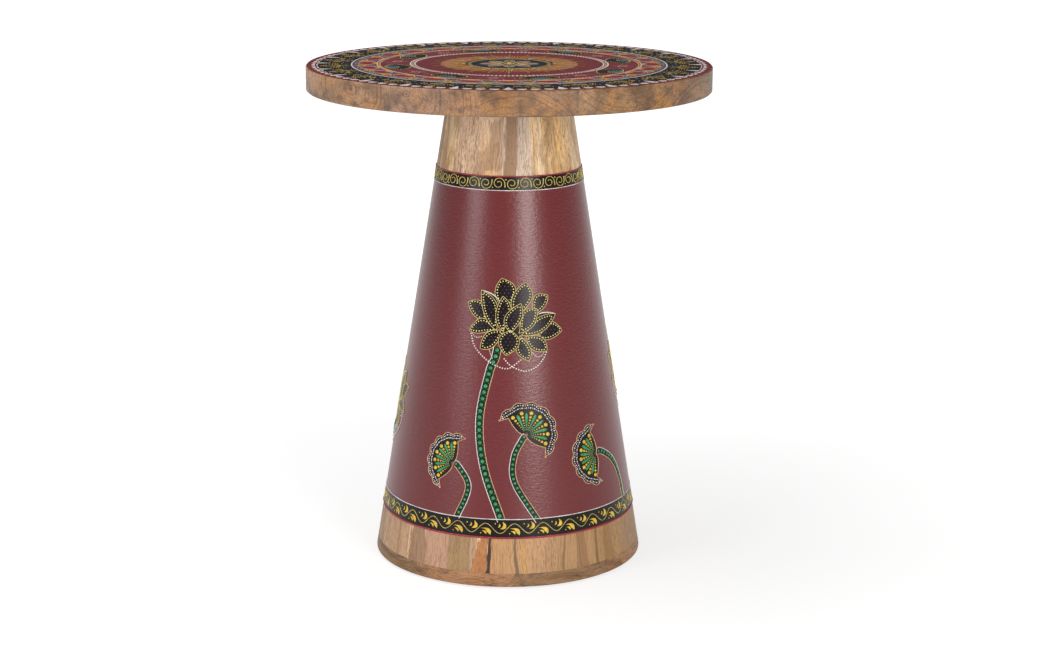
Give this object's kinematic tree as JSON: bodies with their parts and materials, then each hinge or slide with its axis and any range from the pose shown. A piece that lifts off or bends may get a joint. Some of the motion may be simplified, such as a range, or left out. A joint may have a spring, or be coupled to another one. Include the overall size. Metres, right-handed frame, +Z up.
{
  "type": "coffee table",
  "caption": "Round side or coffee table: a board top on a tall coopered cone with a foot ring, painted with folk flowers, vines and a mandala.",
  "frame": {"origin": "on the floor, under the middle of the foot ring, at the underside of the felt pads", "axes": "+Z up along the cone's axis, -Y towards the front that the picture shows, +X to the right in the picture"},
  "size_m": [0.45, 0.45, 0.56],
  "materials": {
    "top_wood": "satin lacquer over mango wood, painted on the upper face",
    "painted_stave_wood": "satin maroon paint over mango wood, bare at the top collar and the foot",
    "ring_wood": "satin lacquer over mango wood",
    "inner_wood": "planed, unfinished",
    "dowel_wood": "plain hardwood rod",
    "screw_steel": "zinc plated",
    "pad_felt": "pressed felt"
  },
  "bodies": {
    "root": {"top_board_1": "top_wood", "top_board_2": "top_wood", "top_board_3": "top_wood", "top_board_4": "top_wood", "top_board_5": "top_wood", "board_dowels": "dowel_wood", "head_plate": "inner_wood", "top_screws": "screw_steel", "stave_01": "painted_stave_wood", "stave_02": "painted_stave_wood", "stave_03": "painted_stave_wood", "stave_04": "painted_stave_wood", "stave_05": "painted_stave_wood", "stave_06": "painted_stave_wood", "stave_07": "painted_stave_wood", "stave_08": "painted_stave_wood", "stave_09": "painted_stave_wood", "stave_10": "painted_stave_wood", "stave_11": "painted_stave_wood", "stave_12": "painted_stave_wood", "stave_13": "painted_stave_wood", "stave_14": "painted_stave_wood", "stave_15": "painted_stave_wood", "stave_16": "painted_stave_wood", "ring_segment_1": "ring_wood", "ring_segment_2": "ring_wood", "ring_segment_3": "ring_wood", "ring_segment_4": "ring_wood", "ring_segment_5": "ring_wood", "ring_segment_6": "ring_wood", "ring_segment_7": "ring_wood", "ring_segment_8": "ring_wood", "ring_screws": "screw_steel", "felt_pads": "pad_felt"}
  },
  "joints": []
}
